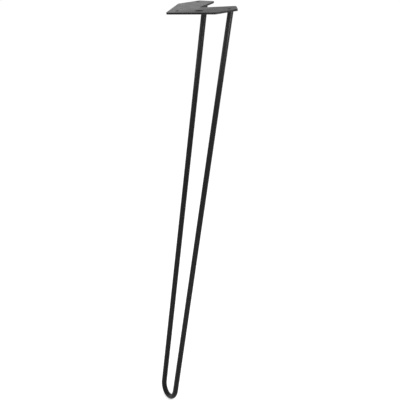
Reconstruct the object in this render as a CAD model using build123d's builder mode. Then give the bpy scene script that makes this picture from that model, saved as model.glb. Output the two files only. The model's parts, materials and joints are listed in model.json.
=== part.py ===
from build123d import *
import os
from math import asin, atan2, cos, hypot, radians, sin, tan

# Hairpin table leg: an arrow-shaped mounting plate with one bent rod welded under its two arms.
#
# Sizes are in millimetres. The origin is the centre of the corner screw hole, on the plate's top
# face. +Z is up and the leg hangs below the plate. The plate's line of symmetry is the X axis, and
# +X runs from its outer corner, which goes to the table's corner, in towards its notch.

# Leg as a whole
leg_height = 711.2  # top face of the plate to the lowest point of the foot
foot_reach = 142.5  # how far the foot stands out past the rod's upper ends

# Rod
rod_diameter = 9.525
bend_radius = 20.5  # of the rod's centreline at the foot

# Plate outline
plate_thickness = 3.175
plate_width = 113.0  # between the two side edges
plate_length = 112.5  # outer corner to the tips of the arms
side_edge_length = 42.0
notch_mouth = 64.0  # between the tips of the arms
notch_depth = 51.0
corner_rounding = 3.0
edge_break = 0.4  # of the sharp edges round the outline

# Where the rod's ends stand on the arms
rod_side_inset = 18.4  # in from the side edge
rod_tip_inset = 15.0  # back from the tips of the arms

# Screw holes
screw_hole_diameter = 5.5
corner_hole_inset = 21.0  # from the outer corner, along the line of symmetry
end_hole_side_inset = 10.0  # in from the side edge
end_hole_corner_inset = 9.5  # back from the end of the side edge

# Wider hole on one arm, in line with the corner hole and along the outer edge
slot_length = 14.0
slot_width = 9.0
slot_spacing = 35.5  # from the corner hole

# Weld
weld_leg = 2.2


# Places that follow from the sizes
half_width = plate_width / 2
outer_corner_x = -corner_hole_inset
shoulder_x = outer_corner_x + half_width  # the two outer edges meet at a right angle
side_end_x = shoulder_x + side_edge_length
tip_x = outer_corner_x + plate_length
underside_z = -plate_thickness

rod_radius = rod_diameter / 2
rod_top_x = tip_x - rod_tip_inset
rod_top_y = half_width - rod_side_inset
foot_x = rod_top_x - foot_reach
foot_z = rod_radius - leg_height  # centreline of the bend at its lowest


# Mounting plate
outer_corner = (outer_corner_x, 0)
shoulder = (shoulder_x, half_width)
arm_corner = (side_end_x, half_width)
arm_tip = (tip_x, notch_mouth / 2)
notch_corner = (tip_x - notch_depth, 0)

end_hole_x = side_end_x - end_hole_corner_inset
end_hole_y = half_width - end_hole_side_inset
screw_holes = [(0, 0), (end_hole_x, end_hole_y), (end_hole_x, -end_hole_y)]

outer_edge_angle = 45
slot_x = slot_spacing * cos(radians(outer_edge_angle))
slot_y = -slot_spacing * sin(radians(outer_edge_angle))

with BuildPart() as mounting_plate:
    with BuildSketch() as plate_outline:
        with BuildLine():
            Polyline(outer_corner, shoulder, arm_corner, arm_tip, notch_corner)
            mirror(about=Plane.XZ)
        make_face()
        fillet(plate_outline.vertices(), corner_rounding)
        with Locations(*screw_holes):
            Circle(screw_hole_diameter / 2, mode=Mode.SUBTRACT)
        with Locations((slot_x, slot_y)):
            SlotOverall(slot_length, slot_width, rotation=-outer_edge_angle, mode=Mode.SUBTRACT)
    extrude(amount=-plate_thickness)
    plate_faces = mounting_plate.faces().filter_by(Axis.Z)
    chamfer([edge for face in plate_faces for edge in face.outer_wire().edges()], edge_break)
mounting_plate.part.label = "mounting_plate"


# Hairpin rod
# The rod lies in a plane that leans outwards, from the line through its upper ends to the foot.
# In that plane Y points up the leg. The two straight runs are tangent to the bend's circle, and
# would meet at the vee point, below the foot.
rod_drop = underside_z - foot_z
lean_length = hypot(foot_reach, rod_drop)
bend_centre = lean_length - bend_radius
half_angle = atan2(rod_top_y, bend_centre) - asin(bend_radius / hypot(rod_top_y, bend_centre))
vee_length = rod_top_y / tan(half_angle)

leg_plane = Plane(
    origin=(rod_top_x, 0, underside_z),
    x_dir=(0, 1, 0),
    z_dir=(rod_drop, 0, -foot_reach),
)
# Each end starts above the plate's underside, so that one flat cut trims the whole of it.
run_on = 2 * rod_diameter
run_on_y = rod_top_y + run_on * tan(half_angle)

with BuildPart() as hairpin_rod:
    with BuildLine(leg_plane) as rod_path:
        FilletPolyline(
            (run_on_y, run_on), (0, -vee_length), (-run_on_y, run_on), radius=bend_radius
        )
    with BuildSketch(rod_path.line ^ 0):
        Circle(rod_radius)
    sweep()
    split(bisect_by=Plane.XY.offset(underside_z), keep=Keep.BOTTOM)
hairpin_rod.part.label = "hairpin_rod"


# Weld beads
# Each bead is a round bead centred on the line where the rod meets the plate, less what lies in
# the rod and in the plate.
rod_ends = hairpin_rod.faces().filter_by(Plane.XY).sort_by(Axis.Y)
weld_beads = {}
for name, rod_end in (("right_weld_bead", rod_ends[0]), ("left_weld_bead", rod_ends[-1])):
    weld_line = rod_end.outer_wire()
    with BuildPart() as weld_bead:
        with BuildSketch(weld_line ^ 0):
            Circle(weld_leg)
        sweep(path=weld_line)
        split(bisect_by=Plane.XY.offset(underside_z), keep=Keep.BOTTOM)
        add(hairpin_rod.part, mode=Mode.SUBTRACT)
    weld_bead.part.label = name
    weld_beads[name] = weld_bead.part


os.makedirs("parts", exist_ok=True)
export_step(mounting_plate.part, "parts/mounting_plate.step")
export_step(hairpin_rod.part, "parts/hairpin_rod.step")
for name, bead in weld_beads.items():
    export_step(bead, f"parts/{name}.step")
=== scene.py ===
import json
import math

import bmesh
import bpy
from mathutils import Matrix, Vector
from mathutils.geometry import delaunay_2d_cdt


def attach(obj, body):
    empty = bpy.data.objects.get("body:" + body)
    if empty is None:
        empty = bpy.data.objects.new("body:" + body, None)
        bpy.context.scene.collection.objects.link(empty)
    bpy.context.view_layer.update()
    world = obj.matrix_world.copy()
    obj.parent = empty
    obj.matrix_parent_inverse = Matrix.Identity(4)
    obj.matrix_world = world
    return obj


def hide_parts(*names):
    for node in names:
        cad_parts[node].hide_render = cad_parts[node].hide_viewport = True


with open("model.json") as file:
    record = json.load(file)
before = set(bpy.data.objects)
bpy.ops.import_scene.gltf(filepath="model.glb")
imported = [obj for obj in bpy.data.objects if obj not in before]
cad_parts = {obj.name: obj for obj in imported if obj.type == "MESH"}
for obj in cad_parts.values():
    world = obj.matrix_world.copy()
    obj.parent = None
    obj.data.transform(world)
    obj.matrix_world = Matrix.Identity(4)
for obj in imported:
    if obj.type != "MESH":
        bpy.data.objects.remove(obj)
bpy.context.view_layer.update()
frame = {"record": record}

# Hairpin table leg in black powder coat. Metres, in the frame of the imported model: the origin is
# the corner screw hole on the plate's top, +Z is up, and +X runs in from the plate's corner.

MM = 0.001

# Plate
PLATE_THICKNESS = 3.175 * MM
PLATE_WIDTH = 113.0 * MM
PLATE_LENGTH = 112.5 * MM
SIDE_EDGE_LENGTH = 42.0 * MM
NOTCH_MOUTH = 64.0 * MM
NOTCH_DEPTH = 51.0 * MM
CORNER_ROUNDING = 3.0 * MM
CORNER_STEPS = 10
EDGE_BREAK = 0.4 * MM  # of the edges round the outline
HOLE_EDGE_BREAK = 0.3 * MM
EDGE_STEPS = 6
EDGE_MATERIAL = 1  # place of the edge coat among the plate's materials
INSIDE_WITHOUT_HOLES = 2  # the triangulation's mode that leaves holes open
MERGE_DISTANCE = 1e-7

# Holes in the plate
CORNER_HOLE_INSET = 21.0 * MM  # from the outer corner, along the line of symmetry
SCREW_HOLE_RADIUS = 5.5 / 2 * MM
END_HOLE_SIDE_INSET = 10.0 * MM  # in from the side edge
END_HOLE_CORNER_INSET = 9.5 * MM  # back from the end of the side edge
SLOT_LENGTH = 14.0 * MM
SLOT_WIDTH = 9.0 * MM
SLOT_SPACING = 35.5 * MM  # from the corner hole
HOLE_STEPS = 24  # round half a hole

# Rod
ROD_RADIUS = 9.525 / 2 * MM
ROD_SIDE_INSET = 18.4 * MM  # in from the side edge
ROD_TIP_INSET = 15.0 * MM  # back from the tips of the arms
BEND_RADIUS = 20.5 * MM  # of the rod's centreline
ROD_SIDES = 56
RUN_STEP = 12 * MM
BEND_STEPS = 48
SHARP_ANGLE = math.radians(50)  # of the rod's and the beads' edges that aren't shaded smooth

# Weld beads. Heights are shares of the weld's leg, and places are shares of the way round. A wave
# is the number of times that it comes round, its share and its phase.
WELD_LEG = 2.2 * MM
WELD_ROOT_DEPTH = 0.25 * MM
WELD_STEPS = 280
WELD_SECTION_STEPS = 14
WELD_STARTS = {"left_weld": 0.62, "right_weld": 0.57}
WELD_RIPPLES = 21
WELD_RIPPLE_HEIGHT = 0.055
WELD_RIPPLE_MEAN = 0.6
WELD_RIPPLE_SOFTNESS = 0.03
WELD_RIPPLE_BOW = 0.9  # of the crescents across the bead
WELD_RIPPLE_DRIFT = 0.6
WELD_DRIFT_WAVES = ((3, 1.0, 1.1), (7, 0.5, 0.0))
WELD_SWELL = 0.045
WELD_SWELL_WAVES = ((2, 1.0, 0.6), (5, 0.7, 2.3))
WELD_CRATER = 0.10  # the lump where the run starts and stops
WELD_CRATER_WIDTH = 0.03

# Photograph, and the camera that was fitted to it
PHOTO_SIDE = 400
FOCAL_LENGTH_PIXELS = 828.45
OPTICAL_CENTRE = (211.46, 207.71)
SENSOR_WIDTH = 36.0
CAMERA_PLACE = Vector((-667.9, -1145.6, 235.5)) * MM
CAMERA_YAW = math.radians(31.98)
CAMERA_PITCH = math.radians(23.53)
CAMERA_ROLL = math.radians(2.56)

# Powder coat. Tones and roughness are ranges, and scales are in cells per metre.
PLATE_TONE = (0.007, 0.011)
PLATE_ROUGHNESS = (0.30, 0.36)
PLATE_SPECULAR = 0.2
MATT_ARM_ROUGHNESS = 0.13  # added on the arm with the obround hole
MATT_ARM_Y = (-0.03, 0.0)  # where it is all there, and where it ends
EDGE_ROUGHNESS = (0.34, 0.42)
EDGE_SPECULAR = 0.1
ROD_TONE = (0.0055, 0.009)
ROD_ROUGHNESS = (0.32, 0.40)
ROD_SPECULAR = 0.11
WELD_ROUGHNESS = (0.36, 0.46)
NOISE_RANGE = (0.3, 0.7)  # where most of a noise texture's values lie
NOISE_DETAIL = 2.0
MOTTLING_SCALE = 240.0
MOTTLING_DETAIL = 3.0
SHEEN_SCALE = 70.0
PEEL_SCALE = 620.0
PEEL_SMOOTHNESS = 1.0
PEEL_HEIGHT = 0.045 * MM
GRAIN_SCALE = 2600.0
GRAIN_HEIGHT = 0.007 * MM

# Floor and background
WHITE = (1.0, 1.0, 1.0, 1.0)
FLOOR_HALF_SIDE = 12.0
FLOOR_COLOUR = (0.8, 0.8, 0.8, 1.0)
FLOOR_GLOW = 0.65  # what the camera sees of the floor's white, above the light on it
SHOWS_WHITE = 1.0  # the strength that shows as white
WORLD_STRENGTH = 0.45  # the world's light on the leg

# Lamps: place, target, size in metres and power in watts. The key and side lamps stand close, below
# the plate's level, and the card lifts the foot of the leg.
LAMPS = {
    "key": ((0.1, -0.23, -0.055), (0.07, -0.045, -0.04), (0.06, 0.08), 0.42),
    "fill": ((-0.911, -1.11, 0.088), (0.02, 0.0, -0.3), (0.8, 0.8), 4.0),
    "top": ((0.55, 0.19, 1.09), (0.02, 0.0, -0.3), (1.2, 1.2), 8.0),
    "side": ((-0.12, 0.05, -0.06), (0.076, 0.038, -0.06), (0.12, 0.1), 0.18),
    "card": ((-0.26, -0.33, -0.705), (-0.21, -0.245, -0.4), (0.2, 0.7), 1.4),
}


# Places that follow from the frame and the sizes

half_width = PLATE_WIDTH / 2
outer_corner_x = -CORNER_HOLE_INSET
shoulder_x = outer_corner_x + half_width
side_end_x = shoulder_x + SIDE_EDGE_LENGTH
tip_x = outer_corner_x + PLATE_LENGTH
notch_x = tip_x - NOTCH_DEPTH
underside_z = -PLATE_THICKNESS

foot = next(Vector(m["pos_m"]) for m in frame["record"]["mounts"] if m["name"] == "foot")
foot_centre = foot + Vector((0, 0, ROD_RADIUS))
rod_top_y = half_width - ROD_SIDE_INSET
rod_head = Vector((tip_x - ROD_TIP_INSET, 0, underside_z))
lean = foot_centre - rod_head
down = lean.normalized()
across = Vector((0, 1, 0))
leg_normal = across.cross(down)
bend_depth = lean.length - BEND_RADIUS
half_angle = math.atan2(rod_top_y, bend_depth) - math.asin(
    BEND_RADIUS / math.hypot(rod_top_y, bend_depth)
)
run_length = math.sqrt(rod_top_y**2 + bend_depth**2 - BEND_RADIUS**2)


def run_start(side):
    """Centre of the rod's upper end, side +1 for the left run and -1 for the right one."""
    return rod_head + across * (side * rod_top_y)


def run_direction(side):
    """Down a straight run."""
    return down * math.cos(half_angle) - across * (side * math.sin(half_angle))


# Materials


def new_material(name):
    """An empty node material with its Principled shader."""
    material = bpy.data.materials.new(name)
    material.use_nodes = True
    nodes = material.node_tree.nodes
    nodes.clear()
    output = nodes.new("ShaderNodeOutputMaterial")
    shader = nodes.new("ShaderNodeBsdfPrincipled")
    material.node_tree.links.new(shader.outputs["BSDF"], output.inputs["Surface"])
    return material, shader


def object_place(material):
    """Coordinates that are fixed to the object, in metres."""
    return material.node_tree.nodes.new("ShaderNodeTexCoord").outputs["Object"]


def noise(material, scale, detail=NOISE_DETAIL):
    """Noise from 0 to 1, with its scale in cells per metre."""
    texture = material.node_tree.nodes.new("ShaderNodeTexNoise")
    texture.inputs["Scale"].default_value = scale
    texture.inputs["Detail"].default_value = detail
    material.node_tree.links.new(object_place(material), texture.inputs["Vector"])
    return texture.outputs["Fac"]


def spread(material, source, low, high, source_range=NOISE_RANGE):
    """Takes a value from its own range onto low to high, with soft ends."""
    mapped = material.node_tree.nodes.new("ShaderNodeMapRange")
    mapped.interpolation_type = "SMOOTHSTEP"
    mapped.inputs["From Min"].default_value = source_range[0]
    mapped.inputs["From Max"].default_value = source_range[1]
    mapped.inputs["To Min"].default_value = low
    mapped.inputs["To Max"].default_value = high
    material.node_tree.links.new(source, mapped.inputs["Value"])
    return mapped.outputs["Result"]


def add(material, first, second):
    """The sum of two values."""
    total = material.node_tree.nodes.new("ShaderNodeMath")
    total.operation = "ADD"
    material.node_tree.links.new(first, total.inputs[0])
    material.node_tree.links.new(second, total.inputs[1])
    return total.outputs["Value"]


def grey(material, value):
    """A value as a grey colour."""
    colour = material.node_tree.nodes.new("ShaderNodeCombineColor")
    for channel in ("Red", "Green", "Blue"):
        material.node_tree.links.new(value, colour.inputs[channel])
    return colour.outputs["Color"]


def bumped(material, height, depth, under=None):
    """A normal from a height field, laid over another normal if one is given."""
    bump = material.node_tree.nodes.new("ShaderNodeBump")
    bump.inputs["Distance"].default_value = depth
    material.node_tree.links.new(height, bump.inputs["Height"])
    if under:
        material.node_tree.links.new(under, bump.inputs["Normal"])
    return bump.outputs["Normal"]


def orange_peel(material):
    """Rounded swellings about 1.5 mm across, with a finer grain over them."""
    cells = material.node_tree.nodes.new("ShaderNodeTexVoronoi")
    cells.feature = "SMOOTH_F1"
    cells.inputs["Scale"].default_value = PEEL_SCALE
    cells.inputs["Smoothness"].default_value = PEEL_SMOOTHNESS
    material.node_tree.links.new(object_place(material), cells.inputs["Vector"])
    swelling = spread(material, cells.outputs["Distance"], 1.0, 0.0, (0.0, 1.0))
    peel = bumped(material, swelling, PEEL_HEIGHT)
    return bumped(material, noise(material, GRAIN_SCALE), GRAIN_HEIGHT, peel)


def powder_coat(name, tone, roughness, specular, matt_arm=False):
    """Satin black powder coat: near black, faintly uneven, with an orange peel."""
    material, shader = new_material(name)
    links = material.node_tree.links
    mottling = spread(material, noise(material, MOTTLING_SCALE, MOTTLING_DETAIL), *tone)
    links.new(grey(material, mottling), shader.inputs["Base Color"])
    sheen = spread(material, noise(material, SHEEN_SCALE), *roughness)
    if matt_arm:
        split = material.node_tree.nodes.new("ShaderNodeSeparateXYZ")
        links.new(object_place(material), split.inputs["Vector"])
        arm = spread(material, split.outputs["Y"], MATT_ARM_ROUGHNESS, 0.0, MATT_ARM_Y)
        sheen = add(material, sheen, arm)
    links.new(sheen, shader.inputs["Roughness"])
    links.new(orange_peel(material), shader.inputs["Normal"])
    shader.inputs["Specular IOR Level"].default_value = specular
    return material


# Meshes


def new_piece(name, build):
    """An object from a finished bmesh, shaded smooth."""
    mesh = bpy.data.meshes.new(name)
    bmesh.ops.recalc_face_normals(build, faces=build.faces)
    build.to_mesh(mesh)
    build.free()
    mesh.shade_smooth()
    piece = bpy.data.objects.new(name, mesh)
    bpy.context.scene.collection.objects.link(piece)
    return piece


def closed_tube(name, rings, capped):
    """A mesh from rings of points: capped at both ends, or closed round on itself."""
    build = bmesh.new()
    rows = [[build.verts.new(p) for p in ring] for ring in rings]
    pairs = list(zip(rows, rows[1:]))
    if not capped:
        pairs.append((rows[-1], rows[0]))
    for row, after in pairs:
        count = len(row)
        for k in range(count):
            build.faces.new((row[k], row[(k + 1) % count], after[(k + 1) % count], after[k]))
    if capped:
        build.faces.new(list(reversed(rows[0])))
        build.faces.new(rows[-1])
    piece = new_piece(name, build)
    piece.data.set_sharp_from_angle(angle=SHARP_ANGLE)
    return piece


def corner_arc(before, corner, after, radius):
    """The arc that rounds a corner: its centre, radius, first angle, turn and number of steps."""
    back = (before - corner).normalized()
    ahead = (after - corner).normalized()
    half_corner = back.angle(ahead) / 2
    centre = corner + (back + ahead).normalized() * radius / math.sin(half_corner)
    first = corner + back * radius / math.tan(half_corner) - centre
    turn = math.pi - 2 * half_corner
    if back.cross(ahead) > 0:
        turn = -turn
    return centre, radius, math.atan2(first.y, first.x), turn, CORNER_STEPS


def round_hole(x, y):
    """A screw hole, as one arc that closes on itself."""
    return [(Vector((x, y)), SCREW_HOLE_RADIUS, 0.0, 2 * math.pi, 2 * HOLE_STEPS)]


def obround_hole():
    """The wide hole on the right arm: two half circles in line with the corner hole."""
    along = Vector((1, -1)).normalized()
    centre = along * SLOT_SPACING
    half_run = (SLOT_LENGTH - SLOT_WIDTH) / 2
    heading = math.atan2(along.y, along.x)
    return [
        (centre + along * half_run, SLOT_WIDTH / 2, heading - math.pi / 2, math.pi, HOLE_STEPS),
        (centre - along * half_run, SLOT_WIDTH / 2, heading + math.pi / 2, math.pi, HOLE_STEPS),
    ]


def plate_outline():
    """The arrow shape, anticlockwise from above, as the arcs at its eight corners."""
    right = [
        Vector((shoulder_x, -half_width)),
        Vector((side_end_x, -half_width)),
        Vector((tip_x, -NOTCH_MOUTH / 2)),
    ]
    left = [Vector((p.x, -p.y)) for p in reversed(right)]
    corners = [Vector((outer_corner_x, 0)), *right, Vector((notch_x, 0)), *left]
    count = len(corners)
    return [
        corner_arc(corners[k - 1], corners[k], corners[(k + 1) % count], CORNER_ROUNDING)
        for k in range(count)
    ]


def loop_points(arcs, side):
    """Points round a loop, each with the way out of the metal.

    Side is 1 for the outline and -1 for a hole.
    """
    loop = []
    for centre, radius, start, turn, steps in arcs:
        whole_circle = abs(turn) > math.pi
        bulge = side if turn > 0 else -side
        for k in range(steps if whole_circle else steps + 1):
            angle = start + turn * k / steps
            spoke = Vector((math.cos(angle), math.sin(angle)))
            loop.append((centre + spoke * radius, spoke * bulge))
    return loop


def make_plate():
    """The plate, with a soft edge round its outline and each hole, and exact normals."""
    end_x, end_y = side_end_x - END_HOLE_CORNER_INSET, half_width - END_HOLE_SIDE_INSET
    screw_holes = [round_hole(x, y) for x, y in ((0, 0), (end_x, end_y), (end_x, -end_y))]
    loops = [(plate_outline(), EDGE_BREAK, 1)]
    loops += [(hole, HOLE_EDGE_BREAK, -1) for hole in (*screw_holes, obround_hole())]
    build = bmesh.new()
    normals = []
    walls = []
    rims = {"top": [], "bottom": []}

    def new_ring(loop, edge_break, tilt, face):
        """One ring of a rounded edge. Tilt is 0 on the flat face and a right angle on the wall."""
        ring = []
        sign = 1 if face == "top" else -1
        level = 0 if face == "top" else underside_z
        for place, outward in loop:
            flat = place - outward * edge_break * (1 - math.sin(tilt))
            height = level - sign * edge_break * (1 - math.cos(tilt))
            ring.append(build.verts.new((flat.x, flat.y, height)))
            level_out = outward * math.sin(tilt)
            normals.append((level_out.x, level_out.y, sign * math.cos(tilt)))
        return ring

    for arcs, edge_break, side in loops:
        loop = loop_points(arcs, side)
        tilts = [math.pi / 2 * k / EDGE_STEPS for k in range(EDGE_STEPS + 1)]
        rings = [new_ring(loop, edge_break, tilt, "top") for tilt in tilts]
        rings += [new_ring(loop, edge_break, tilt, "bottom") for tilt in reversed(tilts)]
        for number, (ring, after) in enumerate(zip(rings, rings[1:])):
            for k in range(len(ring)):
                n = (k + 1) % len(ring)
                face = build.faces.new((ring[k], ring[n], after[n], after[k]))
                if number == EDGE_STEPS:
                    walls.append(face)
        rims["top"].append(rings[0])
        rims["bottom"].append(rings[-1])

    for rim in rims.values():
        vertices = [vertex for ring in rim for vertex in ring]
        numbers = iter(range(len(vertices)))
        rounds = [[next(numbers) for _ in ring] for ring in rim]
        flat = [Vector((v.co.x, v.co.y)) for v in vertices]
        filled = delaunay_2d_cdt(flat, [], rounds, INSIDE_WITHOUT_HOLES, MERGE_DISTANCE)
        for triangle in filled[2]:
            build.faces.new([vertices[k] for k in triangle])
    for face in walls:
        face.material_index = EDGE_MATERIAL
    plate = new_piece("arrow_plate", build)
    plate.data.normals_split_custom_set_from_vertices(normals)
    return plate


def ring_points(centre, direction):
    """A circle of the rod's surface round its centreline."""
    inward = leg_normal.cross(direction)
    points = []
    for k in range(ROD_SIDES):
        angle = 2 * math.pi * k / ROD_SIDES
        spoke = inward * math.cos(angle) + leg_normal * math.sin(angle)
        points.append(centre + spoke * ROD_RADIUS)
    return points


def slide_to_underside(point, direction):
    """Moves a point along the rod to the plate's underside."""
    return point + direction * ((underside_z - point.z) / direction.z)


def make_rod():
    """The bent rod, from its left end down, round the foot and up to its right end."""
    first, last = run_direction(1), -run_direction(-1)
    rings = [[slide_to_underside(p, first) for p in ring_points(run_start(1), first)]]
    steps = round(run_length / RUN_STEP)
    for k in range(1, steps):
        rings.append(ring_points(run_start(1) + first * (run_length * k / steps), first))
    centre = rod_head + down * bend_depth
    sweep = math.pi - 2 * half_angle
    for k in range(BEND_STEPS + 1):
        angle = half_angle + sweep * k / BEND_STEPS
        spoke = across * math.cos(angle) + down * math.sin(angle)
        forward = down * math.cos(angle) - across * math.sin(angle)
        rings.append(ring_points(centre + spoke * BEND_RADIUS, forward))
    for k in range(steps - 1, 0, -1):
        rings.append(ring_points(run_start(-1) - last * (run_length * k / steps), last))
    rings.append([slide_to_underside(p, last) for p in ring_points(run_start(-1), last)])
    return closed_tube("bent_rod", rings, capped=True)


def sum_of_waves(turn, waves):
    """Waves that close on themselves round the bead."""
    circle = 2 * math.pi * turn
    return sum(share * math.sin(count * circle + phase) for count, share, phase in waves)


def bead_size(turn, rise):
    """The bead's size as a share of its leg: crescent ripples on an uneven run.

    Turn goes from 0 to 1 round the rod, and rise from 0 at the plate to 1 at the rod.
    """
    swell = sum_of_waves(turn, WELD_SWELL_WAVES)
    drift = sum_of_waves(turn, WELD_DRIFT_WAVES)
    bow = WELD_RIPPLE_BOW * (2 * rise - 1) ** 2
    place = turn * WELD_RIPPLES + WELD_RIPPLE_DRIFT * drift + bow
    ridge = math.sqrt(math.sin(math.pi * place) ** 2 + WELD_RIPPLE_SOFTNESS)
    size = 1 + WELD_SWELL * swell + WELD_RIPPLE_HEIGHT * (ridge - WELD_RIPPLE_MEAN)
    crater = math.exp(-((min(turn, 1 - turn) / WELD_CRATER_WIDTH) ** 2))
    return size + WELD_CRATER * crater


def make_weld(name, side):
    """The weld round one end of the rod, with its root a little way into the rod."""
    direction = run_direction(side)
    inward = leg_normal.cross(direction)
    rings = []
    for k in range(WELD_STEPS):
        turn = k / WELD_STEPS
        angle = 2 * math.pi * (turn + WELD_STARTS[name])
        spoke = inward * math.cos(angle) + leg_normal * math.sin(angle)
        corner = slide_to_underside(run_start(side) + spoke * ROD_RADIUS, direction)
        outward = Vector((spoke.x, spoke.y, 0)).normalized()
        ring = [corner - outward * WELD_ROOT_DEPTH]
        for n in range(WELD_SECTION_STEPS + 1):
            rise = n / WELD_SECTION_STEPS
            tilt = rise * math.pi / 2
            reach = WELD_LEG * bead_size(turn, rise)
            ring.append(corner + (outward * math.cos(tilt) + direction * math.sin(tilt)) * reach)
        ring.append(ring[-1] - outward * WELD_ROOT_DEPTH)
        rings.append(ring)
    return closed_tube(name, rings, capped=False)


# Pieces

plate_coat = powder_coat("plate_coat", PLATE_TONE, PLATE_ROUGHNESS, PLATE_SPECULAR, matt_arm=True)
edge_coat = powder_coat("edge_coat", PLATE_TONE, EDGE_ROUGHNESS, EDGE_SPECULAR)
rod_coat = powder_coat("rod_coat", ROD_TONE, ROD_ROUGHNESS, ROD_SPECULAR)
weld_coat = powder_coat("weld_coat", ROD_TONE, WELD_ROUGHNESS, ROD_SPECULAR)

plate = make_plate()
plate.data.materials.append(plate_coat)
plate.data.materials.append(edge_coat)
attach(plate, "root")
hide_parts("mounting_plate")

rod = make_rod()
rod.data.materials.append(rod_coat)
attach(rod, "root")
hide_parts("hairpin_rod")

for weld_name, node, side in (
    ("left_weld", "left_weld_bead", 1),
    ("right_weld", "right_weld_bead", -1),
):
    weld = make_weld(weld_name, side)
    weld.data.materials.append(weld_coat)
    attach(weld, "root")
    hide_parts(node)


# Floor and background


def seen_white(tree, camera_strength):
    """The camera's strength to the camera, 1 to reflections and glass, and 0 to all other rays."""
    nodes, links = tree.nodes, tree.links
    path = nodes.new("ShaderNodeLightPath")
    camera_part = nodes.new("ShaderNodeMath")
    camera_part.operation = "MULTIPLY"
    camera_part.inputs[1].default_value = camera_strength
    links.new(path.outputs["Is Camera Ray"], camera_part.inputs[0])
    seen = camera_part.outputs[0]
    for ray in ("Is Glossy Ray", "Is Transmission Ray"):
        either = nodes.new("ShaderNodeMath")
        either.operation = "MAXIMUM"
        links.new(seen, either.inputs[0])
        links.new(path.outputs[ray], either.inputs[1])
        seen = either.outputs[0]
    return seen


def make_floor():
    """A white floor under the foot that takes the leg's shadow. Its glow lights nothing."""
    side, height = FLOOR_HALF_SIDE, foot.z
    mesh = bpy.data.meshes.new("floor")
    corners = [(x * side, y * side, height) for x, y in ((-1, -1), (1, -1), (1, 1), (-1, 1))]
    mesh.from_pydata(corners, [], [(0, 1, 2, 3)])
    floor = bpy.data.objects.new("floor", mesh)
    bpy.context.scene.collection.objects.link(floor)
    material = bpy.data.materials.new("floor_white")
    material.use_nodes = True
    tree = material.node_tree
    tree.nodes.clear()
    output = tree.nodes.new("ShaderNodeOutputMaterial")
    paint = tree.nodes.new("ShaderNodeBsdfDiffuse")
    paint.inputs["Color"].default_value = FLOOR_COLOUR
    glow = tree.nodes.new("ShaderNodeEmission")
    glow.inputs["Color"].default_value = WHITE
    added = tree.nodes.new("ShaderNodeAddShader")
    tree.links.new(seen_white(tree, FLOOR_GLOW), glow.inputs["Strength"])
    tree.links.new(paint.outputs["BSDF"], added.inputs[0])
    tree.links.new(glow.outputs["Emission"], added.inputs[1])
    tree.links.new(added.outputs["Shader"], output.inputs["Surface"])
    mesh.materials.append(material)


def make_world():
    """A white world that lights the leg less than it shows."""
    world = bpy.data.worlds.new("studio")
    bpy.context.scene.world = world
    world.use_nodes = True
    tree = world.node_tree
    background = tree.nodes["Background"]
    background.inputs["Color"].default_value = WHITE
    strength = tree.nodes.new("ShaderNodeMapRange")
    strength.inputs["To Min"].default_value = WORLD_STRENGTH
    strength.inputs["To Max"].default_value = SHOWS_WHITE
    tree.links.new(seen_white(tree, SHOWS_WHITE), strength.inputs["Value"])
    tree.links.new(strength.outputs["Result"], background.inputs["Strength"])


def area_light(name, place, target, size, power):
    """A soft lamp that faces its target and isn't seen itself."""
    light = bpy.data.lights.new(name, "AREA")
    light.shape = "RECTANGLE"
    light.size, light.size_y = size
    light.energy = power
    lamp = bpy.data.objects.new(name, light)
    lamp.location = place
    lamp.rotation_mode = "QUATERNION"
    lamp.rotation_quaternion = (Vector(target) - Vector(place)).to_track_quat("-Z", "Y")
    lamp.visible_camera = False
    bpy.context.scene.collection.objects.link(lamp)


def make_camera():
    """The photograph's camera, with its optical centre as the shift."""
    data = bpy.data.cameras.new("camera")
    data.sensor_width = SENSOR_WIDTH
    data.lens = FOCAL_LENGTH_PIXELS / PHOTO_SIDE * SENSOR_WIDTH
    data.shift_x = 0.5 - OPTICAL_CENTRE[0] / PHOTO_SIDE
    data.shift_y = OPTICAL_CENTRE[1] / PHOTO_SIDE - 0.5
    camera = bpy.data.objects.new("camera", data)
    turn = (
        Matrix.Rotation(-CAMERA_YAW, 3, "Z")
        @ Matrix.Rotation(math.pi / 2 - CAMERA_PITCH, 3, "X")
        @ Matrix.Rotation(-CAMERA_ROLL, 3, "Z")
    )
    camera.rotation_mode = "QUATERNION"
    camera.rotation_quaternion = turn.to_quaternion()
    camera.location = CAMERA_PLACE
    bpy.context.scene.collection.objects.link(camera)
    bpy.context.scene.camera = camera


make_floor()
make_world()
for lamp_name, lamp in LAMPS.items():
    area_light(lamp_name, *lamp)
make_camera()
bpy.context.scene.view_settings.view_transform = "Standard"
